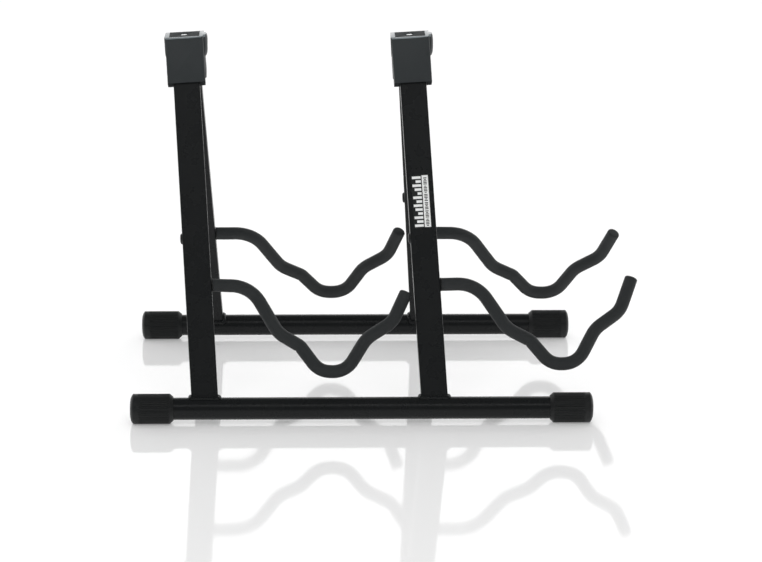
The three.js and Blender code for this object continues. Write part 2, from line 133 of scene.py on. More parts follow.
ROD_RADIUS = 4
FOAM_RADIUS = 7.4
FOAM_CREASE = 0.4
CREASE_BEND = 30
CREASE_START = 0.75
FOAM_UNEVEN = 0.012
FOAM_UNEVEN_STEP = 0.045
ARM_HEIGHT = 140
ARM_FLARE = math.radians(3.6)
FOAM_START = 1.9
FOAM_END = 3
TIP_ROUND = 2.4
TIP_FLATNESS = 0.9
BORE_GAP = 0.2
WASHER_RADIUS = 7.7
WASHER_THICKNESS = 1.4
WASHER_START = 0.3
WASHER_PLAY = 0.6
ARM_SCREW_HEIGHT = 194
SCREW_HEAD_RADIUS = 6
SCREW_HEAD_HEIGHT = 2.4
SCREW_HEAD_EDGE = 0.5
SCREW_HEAD_ROUND = 3.4
SHANK_RADIUS = 2.5
HEX_RADIUS = 2.3
HEX_LIP = 0.25
HEX_LIP_DEPTH = 0.15
HEX_DEPTH = 1.4

LABEL_WIDTH = 19.6
LABEL_HEIGHT = 61.2
LABEL_CENTRE = 234.4
LABEL_CORNER = 0.8
LABEL_MARGIN = 0.8
FILM_DEPTHS = (0.02, 0.3)
PRINT_DEPTHS = (0.36, 0.28)
TICK_DEPTHS = (0.40, 0.33)
BAR_LENGTHS = (9.9, 7.2, 9.9, 5.4, 8.2, 9.9, 6.4, 9.9, 4.6, 7.6, 9.9, 6.0, 9.9)
BAR_END = 0.9
BAR_START = 1.4
BAR_HEIGHT = 2.9
BAR_PITCH = 4.6
STRIP_SPAN = (2.0, 9.2)
TICK_COUNT = 30
TICK_START = 2.2
TICK_HEIGHT = 1.0
TICK_PITCH = 1.75
TICK_GROUP_PITCH = 2.5
TICK_HALF = 1.9
SHORT_TICK_HALF = 1.2

# Each corner of an arm in its own plane: forwards and upwards from its root, and the bend's radius.
ARM_CORNERS = [
    (0, 0, 0),
    (43, 0, 38),
    (76, -53, 33),
    (101, -67, 14),
    (123, -95, 25),
    (153, -95, 26),
    (175, -56, 35),
    (204, -36, 30),
    (219.5, 3, 0),
]
# How each arm differs: turned (degrees), its bends and its tip set forwards, its tip cut short.
ARM_SET = {
    "near_rear": {"turn": -2, "bends": 0.7, "tip": 1.5, "short": 3.5},
    "near_front": {"turn": 1.4, "bends": -2.3, "tip": -2.5, "short": 0},
    "far_rear": {"turn": 0.3, "bends": 1.4, "tip": 0.1, "short": 0},
    "far_front": {"turn": -0.6, "bends": 0.2, "tip": -0.3, "short": 0},
}

# ---------------------------------------------------------------- studio settings

FLOOR_GLOW = 0.22
ROOM_LIGHT = 0.15
BACKDROP_LIGHT = 1.25
BACKDROP_TOP = 0.55
STRIP_LOW = 0.67
STRIP_HIGH = 0.73
STRIP_LIGHT = 3.0
OVERHEAD_POWER = 15
FRONT_POWER = 60
OVERHEAD_SPOT = (0, 0.4, 2.8)
OVERHEAD_SIZE = (3.2, 2.4)
FRONT_SPOT = (0, -3.4, 2.6)
FRONT_SIZE = (3.4, 2.0)
FRONT_AIM = (0, 0, 0.2)

CAMERA_SPOT = (-0.1144, -4.0226, 1.1500)
CAMERA_YAW = math.radians(1.6)
CAMERA_PITCH = math.radians(14.39)
CAMERA_ROLL = math.radians(0.23)
CAMERA_LENS = 168.86

SIDES = ("near", "far")
PLACES = ("rear", "front")


# ---------------------------------------------------------------- materials

def new_material(name):
    """A node material: its tree, its Principled shader and a texture coordinate of the object, in metres."""
    material = bpy.data.materials.new(name)
    material.use_nodes = True
    tree = material.node_tree
    shader = tree.nodes["Principled BSDF"]
    where = tree.nodes.new("ShaderNodeTexCoord").outputs["Object"]
    return material, tree, shader, where


def noise_value(tree, where, scale, detail=4.0, roughness=0.55):
    node = tree.nodes.new("ShaderNodeTexNoise")
    node.inputs["Scale"].default_value = scale
    node.inputs["Detail"].default_value = detail
    node.inputs["Roughness"].default_value = roughness
    tree.links.new(where, node.inputs["Vector"])
    return node.outputs["Fac"]


def remap(tree, value, low, high, to_low, to_high, step="LINEAR"):
    """Spreads a value from one range over another, in a straight line or as a smooth step."""
    node = tree.nodes.new("ShaderNodeMapRange")
    node.interpolation_type = step
    node.inputs["From Min"].default_value = low
    node.inputs["From Max"].default_value = high
    node.inputs["To Min"].default_value = to_low
    node.inputs["To Max"].default_value = to_high
    tree.links.new(value, node.inputs["Value"])
    return node.outputs["Result"]


def blend_colors(tree, factor, first, second):
    node = tree.nodes.new("ShaderNodeMix")
    node.data_type = "RGBA"
    node.inputs["A"].default_value = (*first, 1)
    node.inputs["B"].default_value = (*second, 1)
    tree.links.new(factor, node.inputs["Factor"])
    return node.outputs["Result"]


def bump(tree, height, distance, strength, under=None):
    node = tree.nodes.new("ShaderNodeBump")
    node.inputs["Distance"].default_value = distance
    node.inputs["Strength"].default_value = strength
    tree.links.new(height, node.inputs["Height"])
    if under is not None:
        tree.links.new(under, node.inputs["Normal"])
    return node.outputs["Normal"]


def mottle(tree, shader, factor, first, second):
    """Base colour that wanders between two colours."""
    tree.links.new(blend_colors(tree, factor, first, second), shader.inputs["Base Color"])


def wear(tree, shader, factor, low, high):
    """Roughness that wanders between two values."""
    tree.links.new(remap(tree, factor, 0.3, 0.7, low, high), shader.inputs["Roughness"])


def relief(tree, shader, height, distance, strength, under=None):
    """Fine relief on the shader, over a coarser one if there is one."""
    tree.links.new(bump(tree, height, distance, strength, under), shader.inputs["Normal"])


def satin_paint(name):
    """Black powder coat: fine orange peel, a little uneven in gloss."""
    material, tree, shader, where = new_material(name)
    patches = noise_value(tree, where, 18, 3)
    mottle(tree, shader, patches, (0.0075, 0.0085, 0.009), (0.0105, 0.0115, 0.012))
    wear(tree, shader, noise_value(tree, where, 55, 5), 0.24, 0.32)
    waves = bump(tree, noise_value(tree, where, 160, 2), 0.0002, 0.05)
    relief(tree, shader, noise_value(tree, where, 900, 2), 0.00006, 0.12, waves)
    shader.inputs["Specular IOR Level"].default_value = 0.22
    return material


def moulded_rubber(name):
    """Moulded rubber: matte, faintly mottled, with a fine grain."""
    material, tree, shader, where = new_material(name)
    patches = noise_value(tree, where, 60, 4)
    mottle(tree, shader, patches, (0.0105, 0.0115, 0.0118), (0.0145, 0.0158, 0.016))
    wear(tree, shader, patches, 0.42, 0.58)
    relief(tree, shader, noise_value(tree, where, 1800, 2), 0.00008, 0.3)
    shader.inputs["Specular IOR Level"].default_value = 0.3
    return material


def moulded_plastic(name, light, rough, specular):
    """Glass-filled plastic with a fine spark-eroded grain and faint flow marks, duller or glossier. light
    scales its colour: a much paler copy is painted reflection on the hinge caps' upward tops, and a darker
    copy is painted shade on their downward faces.
    """
    material, tree, shader, where = new_material(name)
    flow = noise_value(tree, where, 40, 5, 0.6)
    dark = tuple(light * c for c in (0.026, 0.030, 0.032))
    pale = tuple(light * c for c in (0.035, 0.040, 0.042))
    mottle(tree, shader, flow, dark, pale)
    wear(tree, shader, flow, rough, rough + 0.1)
    relief(tree, shader, noise_value(tree, where, 1500, 3), 0.00005, 0.25)
    shader.inputs["Specular IOR Level"].default_value = specular
    return material


def closed_cell_foam(name):
    """Foam tube: a dull charcoal skin of tiny pores, a little blotchy."""
    material, tree, shader, where = new_material(name)
    patches = noise_value(tree, where, 35, 5)
    mottle(tree, shader, patches, (0.0168, 0.0192, 0.0200), (0.0236, 0.0264, 0.0274))
    wear(tree, shader, patches, 0.62, 0.8)
    cells = tree.nodes.new("ShaderNodeTexVoronoi")
    cells.inputs["Scale"].default_value = 1500
    tree.links.new(where, cells.inputs["Vector"])
    pores = bump(tree, cells.outputs["Distance"], 0.0001, 0.35)
    relief(tree, shader, noise_value(tree, where, 260, 3), 0.0003, 0.2, pores)
    shader.inputs["Sheen Weight"].default_value = 0.05
    shader.inputs["Sheen Roughness"].default_value = 0.4
    return material


def bare_steel(name, color, rough):
    """Plated or blackened steel: fine turning marks and handling haze."""
    material, tree, shader, where = new_material(name)
    haze = noise_value(tree, where, 220, 4)
    mottle(tree, shader, haze, tuple(0.75 * c for c in color), color)
    wear(tree, shader, haze, rough, rough + 0.12)
    relief(tree, shader, noise_value(tree, where, 2600, 2), 0.00003, 0.2)
    shader.inputs["Metallic"].default_value = 1.0
    return material


def printed_vinyl(name, dark, pale, rough):
    """Printed vinyl: a little mottled, with fine rub marks across it."""
    material, tree, shader, where = new_material(name)
    mottle(tree, shader, noise_value(tree, where, 90, 5), dark, pale)
    rubs = noise_value(tree, where, 420, 3, 0.7)
    wear(tree, shader, rubs, rough, rough + 0.14)
    relief(tree, shader, rubs, 0.00003, 0.2)
    shader.inputs["Specular IOR Level"].default_value = 0.3
    return material


MATERIALS = {
    name: make(name, *settings)
    for name, make, *settings in (
        ("black_paint", satin_paint),
        ("foot_rubber", moulded_rubber),
        ("washer_rubber", moulded_rubber),
        ("hinge_plastic", moulded_plastic, 1.0, 0.42, 0.35),
        ("hinge_plastic_matte", moulded_plastic, 0.8, 0.7, 0.2),
        # Seven times paler than the plain plastic: painted reflection on the caps' ear tops and rim, on top
        # of a real glossy finish.
        ("hinge_plastic_shiny_painted_reflection", moulded_plastic, 7.0, 0.06, 1.0),
        # Darker and barely reflective: painted shade on the caps' downward lower faces.
        ("hinge_plastic_dull_painted_shade", moulded_plastic, 0.8, 0.8, 0.04),
        ("arm_foam", closed_cell_foam),
        ("dark_steel", bare_steel, (0.05, 0.05, 0.052), 0.34),
        ("bright_steel", bare_steel, (0.86, 0.87, 0.88), 0.18),
        ("label_film", printed_vinyl, (0.010, 0.012, 0.0115), (0.016, 0.018, 0.0175), 0.42),
        ("label_print", printed_vinyl, (0.88, 0.89, 0.88), (0.94, 0.95, 0.94), 0.4),
    )
}


# ---------------------------------------------------------------- placing pieces

def a_frame_matrix():
    """From the A-frame's millimetres to the frame's metres."""
    stand = Matrix.Translation((TUBE_REAR_END, 0, HINGE_HEIGHT)) @ Matrix.Rotation(-OPEN_ANGLE, 4, "X")
    return stand @ Matrix.Scale(MM, 4)


def place(name, side, verts, faces, slot, smooth_angle=40):
    """Makes the piece that stands for CAD node side_name, and lets it ride on its A-frame."""
    mesh = bpy.data.meshes.new(f"{side}_{name}")
    mesh.from_pydata([tuple(v) for v in verts], [], faces)
    mesh.transform(a_frame_matrix())
    if side == "far":
        mesh.transform(Matrix.Scale(-1, 4, (0, 1, 0)))
        mesh.flip_normals()
    return adopt(f"{side}_{name}", mesh, slot, smooth_angle)


def adopt(node, mesh, slot, smooth_angle):
    """The object that shows a mesh in place of a CAD node, on that node's body."""
    mesh.shade_smooth()
    mesh.set_sharp_from_angle(angle=math.radians(smooth_angle))
    piece = bpy.data.objects.new(f"{node}_look", mesh)
    bpy.context.scene.collection.objects.link(piece)
    mesh.materials.clear()
    mesh.materials.append(MATERIALS[slot])
    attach(piece, frame["nodes"][node]["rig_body"])
    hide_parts(node)
    return piece


def leg_matrix(place_name):
    """From the leg's own axis, z from the foot tube's centre, to the A-frame."""
    base = Matrix.Translation((LEG_X[place_name], -LEG_OFFSET, -HINGE_REACH))
    return base @ Matrix.Rotation(-LEAN_ANGLE, 4, "Y")


def onto(matrix, verts):
    return [matrix @ v for v in verts]


def on_tube_line(verts):
    """Moves points drawn about X on to the foot tube's axis."""
    return [v + Vector((0, -LEG_OFFSET, -HINGE_REACH)) for v in verts]


# ---------------------------------------------------------------- shapes

def skin_rings(rings, closed_along=False):
    """One flat vertex list and its faces over equal rings, with capped ends or closed into a loop."""
    count = len(rings[0])
    verts = [p for ring in rings for p in ring]
    faces = []
    for i in range(len(rings) if closed_along else len(rings) - 1):
        a = i * count
        b = ((i + 1) % len(rings)) * count
        for j in range(count):
            k = (j + 1) % count
            faces.append((a + j, a + k, b + k, b + j))
    if not closed_along:
        faces.append(tuple(reversed(range(count))))
        faces.append(tuple(range((len(rings) - 1) * count, len(rings) * count)))
    return verts, faces


def flipped(faces):
    return [tuple(reversed(face)) for face in faces]


def turn_angles(count):
    """Equal steps once round."""
    return [2 * math.pi * i / count for i in range(count)]


def lathe_x(profile, sides, radius_of=None):
    """Turns (x, radius) points about X. radius_of(x, radius, angle) may shape the surface."""
    rings = []
    for x, radius in profile:
        ring = []
        for angle in turn_angles(sides):
            r = radius_of(x, radius, angle) if radius_of else radius
            ring.append(Vector((x, r * math.cos(angle), r * math.sin(angle))))
        rings.append(ring)
    return rings


def rounded_outline(width, depth, corner, steps=8):
    """Points round a rectangle with round corners."""
    points = []
    for side, (sx, sy) in enumerate(((1, 1), (-1, 1), (-1, -1), (1, -1))):
        centre = Vector((sx * (width / 2 - corner), sy * (depth / 2 - corner), 0))
        for i in range(steps + 1):
            angle = (side + i / steps) * math.pi / 2
            points.append(centre + corner * Vector((math.cos(angle), math.sin(angle), 0)))
    return points


def arc_profile(cx, cr, radius_x, radius_r, start, stop, steps):
    """Points of an elliptic arc in an (x, radius) profile, angles in degrees from +radius towards +x."""
    points = []
    for i in range(steps + 1):
        angle = math.radians(start + (stop - start) * i / steps)
        points.append((cx + radius_x * math.sin(angle), cr + radius_r * math.cos(angle)))
    return points


def resample_loop(points, count):
    """Points at equal steps round a closed line."""
    loop = points + points[:1]
    lengths = [0.0]
    for a, b in zip(loop, loop[1:]):
        lengths.append(lengths[-1] + (b - a).length)
    result = []
    segment = 0
    for i in range(count):
        target = lengths[-1] * i / count
        while lengths[segment + 1] < target:
            segment += 1
        share = (target - lengths[segment]) / max(lengths[segment + 1] - lengths[segment], 1e-9)
        result.append(loop[segment].lerp(loop[segment + 1], share))
    return result


# ---------------------------------------------------------------- feet

def foot_tube(side):
    bore = FOOT_TUBE_RADIUS - TUBE_WALL
    ends = (0, FOOT_TUBE_LENGTH)
    profile = [(x, FOOT_TUBE_RADIUS) for x in ends] + [(x, bore) for x in reversed(ends)]
    verts, faces = skin_rings(lathe_x(profile, 72), closed_along=True)
    place("foot_tube", side, on_tube_line(verts), faces, "black_paint")


def rib_radius(x, radius, angle, seam):
    """Fine ribs along the grip, fading out at both ends of it, and a mould seam on both sides."""
    start = RIB_START - FOOT_CAP_END
    stop = FOOT_CAP_GRIP - GRIP_EDGE
    if radius < FOOT_CAP_RADIUS - 0.01:
        return radius
    away = abs((angle - seam + math.pi / 2) % math.pi - math.pi / 2)
    if away < SEAM_HALF_ANGLE:
        return radius - SEAM_DEPTH
    fade_in = (x - start + RIB_FADE_IN) / RIB_FADE_IN
    fade_out = (stop + RIB_FADE_OUT - x) / RIB_FADE_OUT
    fade = min(1, max(0, fade_in), max(0, fade_out))
    valley = 0.5 - 0.5 * math.cos(RIB_COUNT * angle)
    return radius - fade * RIB_DEPTH * valley ** 2


def foot_cap(side, place_name):
    """A ribbed cup with a domed end, drawn for a rear end of the tube and turned about for a front end."""
    dome_edge = (DOME_LENGTH - FOOT_CAP_END, FOOT_CAP_RADIUS - DOME_WIDTH)
    dome = arc_profile(*dome_edge, -DOME_LENGTH, DOME_SWELL, 90, DOME_STOP, 12)
    corner = [(3.6 - FOOT_CAP_END, FOOT_CAP_RADIUS - 0.05), (4 - FOOT_CAP_END, FOOT_CAP_RADIUS)]
    grip_start = 5 - FOOT_CAP_END
    grip = [(grip_start + i, FOOT_CAP_RADIUS) for i in range(int(FOOT_CAP_GRIP - grip_start))]
    mouth = FOOT_CAP_GRIP + FOOT_CAP_SHOULDER
    bore = FOOT_TUBE_RADIUS + CUP_PLAY
    shoulder = [
        (FOOT_CAP_GRIP - GRIP_EDGE, FOOT_CAP_RADIUS),
        (FOOT_CAP_GRIP - 0.3, FOOT_CAP_RADIUS),
        (FOOT_CAP_GRIP, FOOT_CAP_RADIUS - 0.15),
        (mouth - 0.5, bore + 1.3),
        (mouth, bore + 0.9),
        (mouth, bore),
        (-CUP_GAP, bore),
        (-CUP_GAP, AXIS_RING),
    ]
    profile = [(-FOOT_CAP_END, AXIS_RING), (-FOOT_CAP_END, 4), *dome, *corner, *grip, *shoulder]
    seam = math.radians(SEAM_ANGLE[side] * (1 if place_name == "rear" else -1))
    verts, faces = skin_rings(lathe_x(profile, RIB_COUNT * 6, lambda *spot: rib_radius(*spot, seam)))
    if place_name == "front":
        verts = [Vector((FOOT_TUBE_LENGTH - v.x, -v.y, v.z)) for v in verts]
    place(f"{place_name}_foot_cap", side, on_tube_line(verts), faces, "foot_rubber", 35)


# ---------------------------------------------------------------- legs and welds

def cope(x, y, radius):
    """Height on the leg's axis where a line at x, y meets the foot tube's surface."""
    return (math.sqrt(radius ** 2 - y ** 2) - x * math.sin(LEAN_ANGLE)) / math.cos(LEAN_ANGLE)


def leg(side, place_name):
    """A hollow rectangular tube, coped over the foot tube."""
    rings = []
    for wall in (0, TUBE_WALL):
        outline = rounded_outline(LEG_WIDTH - 2 * wall, LEG_THICKNESS - 2 * wall, LEG_CORNER - wall)
        low = [Vector((p.x, p.y, cope(p.x, p.y, FOOT_TUBE_RADIUS - 0.5))) for p in outline]
        top = [Vector((p.x, p.y, LEG_TOP)) for p in outline]
        rings += [top, low] if wall else [low, top]
    verts, faces = skin_rings(rings, closed_along=True)
    place(f"{place_name}_leg", side, onto(leg_matrix(place_name), verts), faces, "black_paint")


def weld_bead(side, place_name):
    """Overlapping puddles of weld metal all round the joint, fuller at the front and the rear."""
    around = (LEG_WIDTH + 2 * WELD_PROUD, LEG_THICKNESS + 2 * WELD_PROUD, LEG_CORNER + WELD_PROUD)
    path = resample_loop(rounded_outline(*around, 6), WELD_STEPS)
    rings = []
    seed = Vector((len(side) * 7.1, len(place_name) * 3.7, 0))
    for i, point in enumerate(path):
        ahead = path[(i + 1) % len(path)]
        behind = path[i - 1]
        along = (ahead - behind).normalized()
        out = Vector((along.y, -along.x, 0))
        centre = Vector((point.x, point.y, cope(point.x, point.y, FOOT_TUBE_RADIUS) + WELD_RISE))
        length = i / len(path) * 2 * (LEG_WIDTH + LEG_THICKNESS)
        ripple = RIPPLE_SHARE * math.sin(2 * math.pi * length / RIPPLE_PITCH)
        lump = LUMP_SHARE * noise.noise(seed + centre * LUMP_SCALE)
        reach = abs(point.x) / (LEG_WIDTH / 2)
        ends = END_SHARE * max(0, reach - END_START) / (1 - END_START)
        radius = WELD_RADIUS * (1 + ripple + lump + ends)
        ring = []
        for angle in turn_angles(WELD_SIDES):
            ring.append(centre + radius * (math.cos(angle) * out + math.sin(angle) * Vector((0, 0, 1))))
        rings.append(ring)
    verts, faces = skin_rings(rings, closed_along=True)
    verts = onto(leg_matrix(place_name), verts)
    place(f"{place_name}_leg_weld", side, verts, flipped(faces), "black_paint", 80)


# ---------------------------------------------------------------- arms

def arm_root(place_name):
    """Where the arm's axis leaves the front face of its leg."""
    lean = ARM_HEIGHT * math.tan(LEAN_ANGLE)
    face = LEG_WIDTH / 2 / math.cos(LEAN_ANGLE)
    return Vector((LEG_X[place_name] - lean + face, -LEG_OFFSET, ARM_HEIGHT - HINGE_REACH))


def arm_line(side, place_name):
    """The arm's corners in its own plane, as (forwards, upwards) vectors with a bend radius each."""
    fit = ARM_SET[f"{side}_{place_name}"]
    turn = Matrix.Rotation(math.radians(fit["turn"]), 2)
    corners = []
    last = len(ARM_CORNERS) - 1
    for i, (u, v, bend) in enumerate(ARM_CORNERS):
        out = u + (0 if i == 0 else fit["tip"] if i == last else fit["bends"])
        corners.append((turn @ Vector((out, v)), bend))
    tip, before = corners[-1][0], corners[-2][0]
    tip -= fit["short"] * (tip - before).normalized()
    return corners


def bent_line(corners, step=1.5):
    """Dense points along straight runs joined by round bends, with how tightly each point bends."""
    points = []

    def run_to(target):
        start = points[-1][0]
        count = max(1, int((target - start).length / step))
        for i in range(1, count + 1):
            points.append((start.lerp(target, i / count), 0.0))

    points.append((corners[0][0], 0.0))
    for (a, _), (corner, bend), (b, _) in zip(corners, corners[1:], corners[2:]):
        inwards = (a - corner).normalized()
        outwards = (b - corner).normalized()
        opening = inwards.angle(outwards)
        turn = math.pi - opening
        bisector = (inwards + outwards).normalized()
        centre = corner + bisector * (bend / math.sin(opening / 2))
        start = corner + inwards * (bend / math.tan(opening / 2))
        run_to(start)
        sign = 1 if inwards.x * outwards.y - inwards.y * outwards.x < 0 else -1
        count = max(6, int(turn * bend / step))
        for i in range(1, count + 1):
            spoke = Matrix.Rotation(sign * turn * i / count, 2) @ (start - centre)
            points.append((centre + spoke, sign * math.sin(math.pi * i / count) / bend))
    run_to(corners[-1][0])
    return points


def sweep_arm(points, radii, place_name, crease=0.0, sides=36):
    """Rings of the given radii round an arm's line, in the A-frame. Bends crease on their inner side."""
    root = arm_root(place_name)
    forwards = Vector((1, 0, 0))
    upwards = Vector((0, math.sin(ARM_FLARE), math.cos(ARM_FLARE)))
    across = forwards.cross(upwards)
    rings = []
    for i, ((flat, curl), radius) in enumerate(zip(points, radii)):
        behind = points[max(i - 1, 0)][0]
        ahead = points[min(i + 1, len(points) - 1)][0]
        along = (ahead - behind).normalized()
        normal = forwards * -along.y + upwards * along.x
        centre = root + forwards * flat.x + upwards * flat.y
        tightness = max(0, abs(curl) * CREASE_BEND - CREASE_START)
        ring = []
        for angle in turn_angles(sides):
            inner = max(0, math.cos(angle) * (1 if curl > 0 else -1))
            r = radius - crease * inner ** 2 * tightness
            ring.append(centre + r * (math.cos(angle) * normal + math.sin(angle) * across))
        rings.append(ring)
    return rings


def trimmed(points, start, stop):
    """The line without its first and its last stretch."""
    total = [0.0]
    for (a, _), (b, _) in zip(points, points[1:]):
        total.append(total[-1] + (b - a).length)
    return [p for p, s in zip(points, total) if start <= s <= total[-1] - stop]


def at_leg_face(ring, place_name):
    """A ring slid along X until it lies parallel to the leg's face, against the washer."""
    root = arm_root(place_name)
    face = root.x + FOAM_START
    return [Vector((face - (v.z - root.z) * math.tan(LEAN_ANGLE), v.y, v.z)) for v in ring]


def foam_sleeve(side, place_name):
    """The foam sock: it meets the washer parallel to the leg's face, and ends in a low dome."""
    line = trimmed(bent_line(arm_line(side, place_name)), FOAM_START, TIP_ROUND)
    seed = Vector((seed_of(side, place_name), 0, 0))
    uneven = [noise.noise(seed + Vector((i * FOAM_UNEVEN_STEP, 0, 0))) for i in range(len(line))]
    radii = [FOAM_RADIUS * (1 + FOAM_UNEVEN * share) for share in uneven]
    rings = sweep_arm(line, radii, place_name, crease=FOAM_CREASE)
    rings[0] = at_leg_face(rings[0], place_name)
    tip = line[-1][0]
    towards = (tip - line[-2][0]).normalized()
    for i in range(1, 9):
        angle = i * math.pi / 16
        radius = radii[-1] - TIP_ROUND * (1 - math.cos(angle))
        rise = TIP_ROUND * TIP_FLATNESS * math.sin(angle)
        rings.append(arm_ring(tip + towards * rise, towards, radius, place_name))
    for share in (0.66, 0.33, 0.02):
        radius = (radii[-1] - TIP_ROUND) * share
        rise = TIP_ROUND * (TIP_FLATNESS + (1 - TIP_FLATNESS) * (1 - share ** 2))
        rings.append(arm_ring(tip + towards * rise, towards, radius, place_name))
    verts, faces = skin_rings(foam_bore(side, place_name) + rings)
    piece = place(f"{place_name}_arm_foam", side, verts, faces, "arm_foam", 50)


def foam_bore(side, place_name):
    """Rings down the inside of the sock, from its closed end to its mouth, clear of the rod."""
    line = trimmed(bent_line(arm_line(side, place_name)), FOAM_START, FOAM_END - BORE_GAP)
    rings = sweep_arm(line, [ROD_RADIUS + BORE_GAP] * len(line), place_name)
    rings[0] = at_leg_face(rings[0], place_name)
    return list(reversed(rings))


def arm_ring(spot, towards, radius, place_name):
    """One ring across the arm at a spot of its own plane."""
    line = [(spot - towards, 0.0), (spot, 0.0), (spot + towards, 0.0)]
    return sweep_arm(line, [radius] * 3, place_name)[1]


def seed_of(side, place_name):
    return 10.0 * SIDES.index(side) + 5.0 * PLACES.index(place_name) + 1.5


def arm_rod(side, place_name):
    line = trimmed(bent_line(arm_line(side, place_name)), 0, FOAM_END)
    radii = [ROD_RADIUS] * (len(line) - 1) + [ROD_RADIUS - 0.5]
    verts, faces = skin_rings(sweep_arm(line, radii, place_name, sides=24))
    place(f"{place_name}_arm_rod", side, verts, faces, "dark_steel", 50)


def arm_washer(side, place_name):
    """A thin ring with a round edge, flat against the leg."""
    bore = ROD_RADIUS + WASHER_PLAY
    round_edge = WASHER_THICKNESS / 2
    middle = WASHER_START + round_edge
    outer = arc_profile(middle, WASHER_RADIUS - round_edge, round_edge, round_edge, -90, 90, 8)
    profile = [(WASHER_START, bore), *outer, (WASHER_START + WASHER_THICKNESS, bore)]
    verts, faces = skin_rings(lathe_x(profile, 48), closed_along=True)
    stand = Matrix.Translation(arm_root(place_name)) @ Matrix.Rotation(-LEAN_ANGLE, 4, "Y")
    place(f"{place_name}_arm_washer", side, onto(stand, verts), faces, "washer_rubber", 50)


def arm_screw(side, place_name):
    """Button-head socket screw in the leg's rear face."""
    face = -LEG_WIDTH / 2
    top = face - SCREW_HEAD_HEIGHT
    edge = (face - SCREW_HEAD_EDGE, SCREW_HEAD_RADIUS - SCREW_HEAD_ROUND)
    dome = arc_profile(*edge, SCREW_HEAD_EDGE - SCREW_HEAD_HEIGHT, SCREW_HEAD_ROUND, 0, 90, 10)
    shank = [(face + 1, SHANK_RADIUS), (face, SHANK_RADIUS)]
    profile = [*shank, (face, SCREW_HEAD_RADIUS), *dome, (top, HEX_RADIUS + HEX_LIP)]
    sides = 48
    rings = lathe_x(profile, sides)
    for depth in (HEX_LIP_DEPTH, HEX_DEPTH):
        rings.append([hex_point(top + depth, HEX_RADIUS, angle) for angle in turn_angles(sides)])
    verts, faces = skin_rings(rings)
    stand = leg_matrix(place_name) @ Matrix.Translation((0, 0, ARM_SCREW_HEIGHT))
    place(f"{place_name}_arm_screw", side, onto(stand, verts), flipped(faces), "dark_steel", 35)


def hex_point(x, radius, angle):
    """The point of a hexagon socket's wall in that direction. radius is across its corners."""
    sector = (angle % (math.pi / 3)) - math.pi / 6
    reach = radius * math.cos(math.pi / 6) / math.cos(sector)
    return Vector((x, reach * math.cos(angle), reach * math.sin(angle)))


# ---------------------------------------------------------------- hinge

CAP_FINISHES = ("hinge_plastic", "hinge_plastic_matte", "hinge_plastic_shiny_painted_reflection", "hinge_plastic_dull_painted_shade")
TOP_NORMAL = Vector((-math.sin(LEAN_ANGLE), 0, math.cos(LEAN_ANGLE)))


def hinge_centre(place_name):
    """The middle of a hinge, in the frame's metres."""
    x = LEG_X[place_name] - HINGE_REACH * math.tan(LEAN_ANGLE)
    return Vector((TUBE_REAR_END + x * MM, 0, HINGE_HEIGHT))


def flat_solid(node):
    """The CAD solid in bmesh, with its flat faces merged."""
    solid = bmesh.new()
    solid.from_mesh(frame["nodes"][node].data)
    bmesh.ops.remove_doubles(solid, verts=solid.verts, dist=1e-6)
    bmesh.ops.dissolve_limit(solid, angle_limit=math.radians(1.0), verts=solid.verts, edges=solid.edges)
    return solid


def softened(node, slot, width, solid=None):
    """A copy of the CAD solid with its flat faces merged and its edges rounded by a width in millimetres."""
    solid = solid or flat_solid(node)
    mesh = bpy.data.meshes.new(node)
    solid.to_mesh(mesh)
    solid.free()
    scratch = bpy.data.objects.new("scratch", mesh)
    bpy.context.scene.collection.objects.link(scratch)
    edge = scratch.modifiers.new("edge", "BEVEL")
    edge.width = width * MM
    edge.segments = 3
    edge.limit_method = "ANGLE"
    edge.angle_limit = math.radians(28)
    edge.use_clamp_overlap = True
    bpy.context.view_layer.update()
    rounded = scratch.evaluated_get(bpy.context.evaluated_depsgraph_get())
    shaped = bpy.data.meshes.new_from_object(rounded)
    bpy.data.objects.remove(scratch)
    shaped.name = node
    return adopt(node, shaped, slot, 32)


def hinge_cap(side, place_name):
    """A cap whose flat top is parted into the outer rim and the rest, each with its own finish. The ear tops
    and rim take a paler copy of the plastic as painted reflection, and the downward lower faces a darker
    copy as painted shade.
    """
    node = f"{side}_{place_name}_hinge_cap"
    centre = hinge_centre(place_name)
    outwards = Vector((0, -1 if side == "near" else 1, 0))
    solid = flat_solid(node)
    flat = [f for f in solid.faces if on_flat_top(f, centre)]
    around = list({e for f in flat for e in f.edges} | {v for f in flat for v in f.verts})
    spot = centre + outwards * RIM_REACH * MM
    bmesh.ops.bisect_plane(solid, geom=around + flat, plane_co=spot, plane_no=outwards, dist=1e-7)
    piece = softened(node, CAP_FINISHES[0], CAP_EDGE, solid)
    for finish in CAP_FINISHES[1:]:
        piece.data.materials.append(MATERIALS[finish])
    for face in piece.data.polygons:
        face.material_index = cap_finish(face, centre, outwards)


def above_hinge(spot, centre):
    """Height of a spot over the hinge axis, square to the cap's top, in millimetres."""
    return (spot - centre).dot(TOP_NORMAL) / MM


def on_flat_top(face, centre):
    """Whether a bmesh face is part of the cap's flat top."""
    middle = face.calc_center_median()
    return face.normal.dot(TOP_NORMAL) > 0.999 and abs(above_hinge(middle, centre) - TOP_RISE) < 0.05


